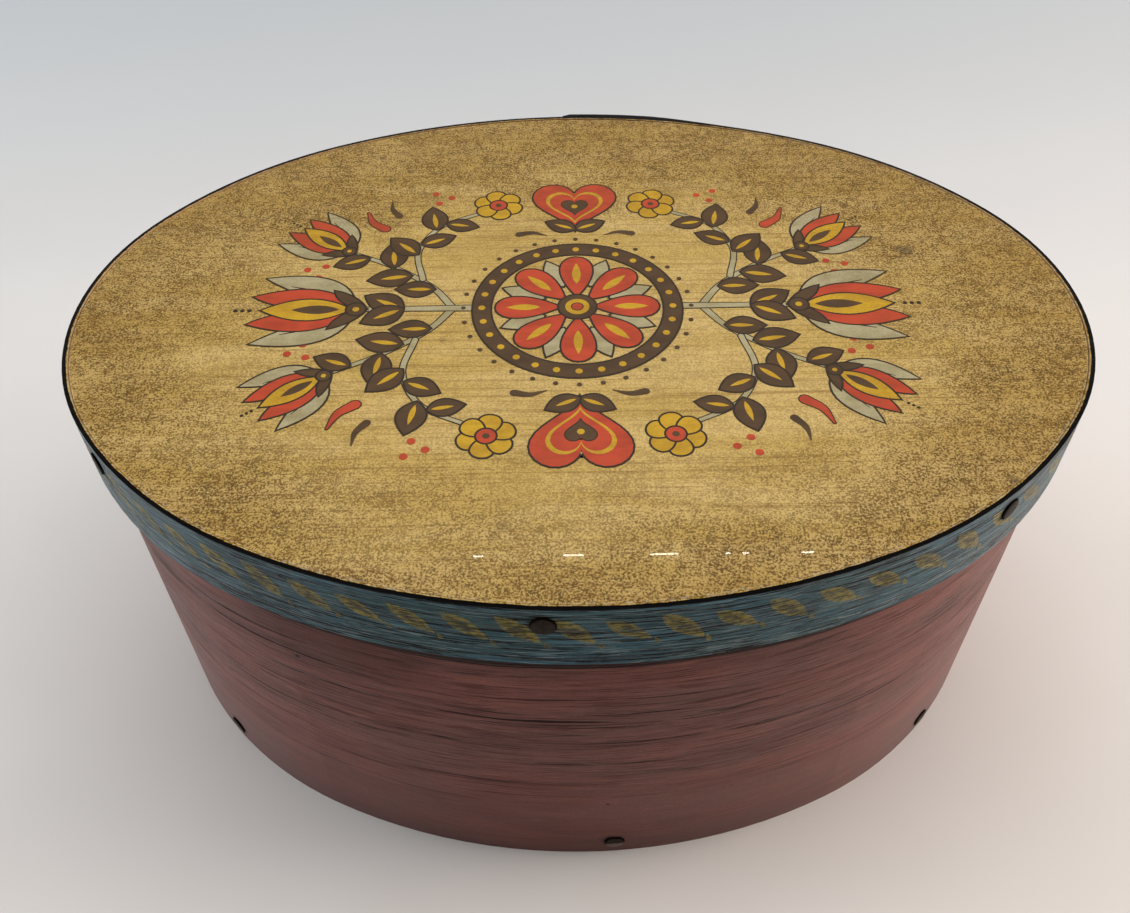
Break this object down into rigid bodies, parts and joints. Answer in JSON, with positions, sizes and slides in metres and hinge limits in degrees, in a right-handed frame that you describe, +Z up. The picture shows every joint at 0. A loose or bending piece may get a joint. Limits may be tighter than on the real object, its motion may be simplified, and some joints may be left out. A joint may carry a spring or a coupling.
{
  "type": "oval bentwood box",
  "caption": "Oval bentwood box with a lift-off lid: painted veneer bands lapped round oval boards, with a flat decorated top.",
  "frame": {"origin": "centre of the oval's underside, on the surface the box stands on", "axes": "+X along the oval's long axis, +Z up; +Y is the back, where both bands are lapped"},
  "size_m": [0.381, 0.2833, 0.177],
  "materials": {
    "body_paint": "worn maroon milk paint over straight-grained veneer, bare wood inside",
    "lid_rim_paint": "worn grey-blue paint with ochre leaves, black top edge",
    "lid_top": "varnished old-gold ground with painted ornament",
    "bottom_wood": "bare planed softwood",
    "tack_metal": "dark, rubbed bronze-brown"
  },
  "bodies": {
    "box": {"body_band": "body_paint", "bottom_board": "bottom_wood", "bottom_tacks": "tack_metal", "body_lap_tacks": "tack_metal"},
    "lid": {"lid_band": "lid_rim_paint", "lid_board": "lid_top", "lid_rim_tacks": "tack_metal", "lid_lap_tacks": "tack_metal"}
  },
  "joints": [
    {"name": "lid_lift", "type": "slide", "parent": "box", "child": "lid", "axis": [0, 0, 1], "range_m": [0, 0.18]}
  ]
}
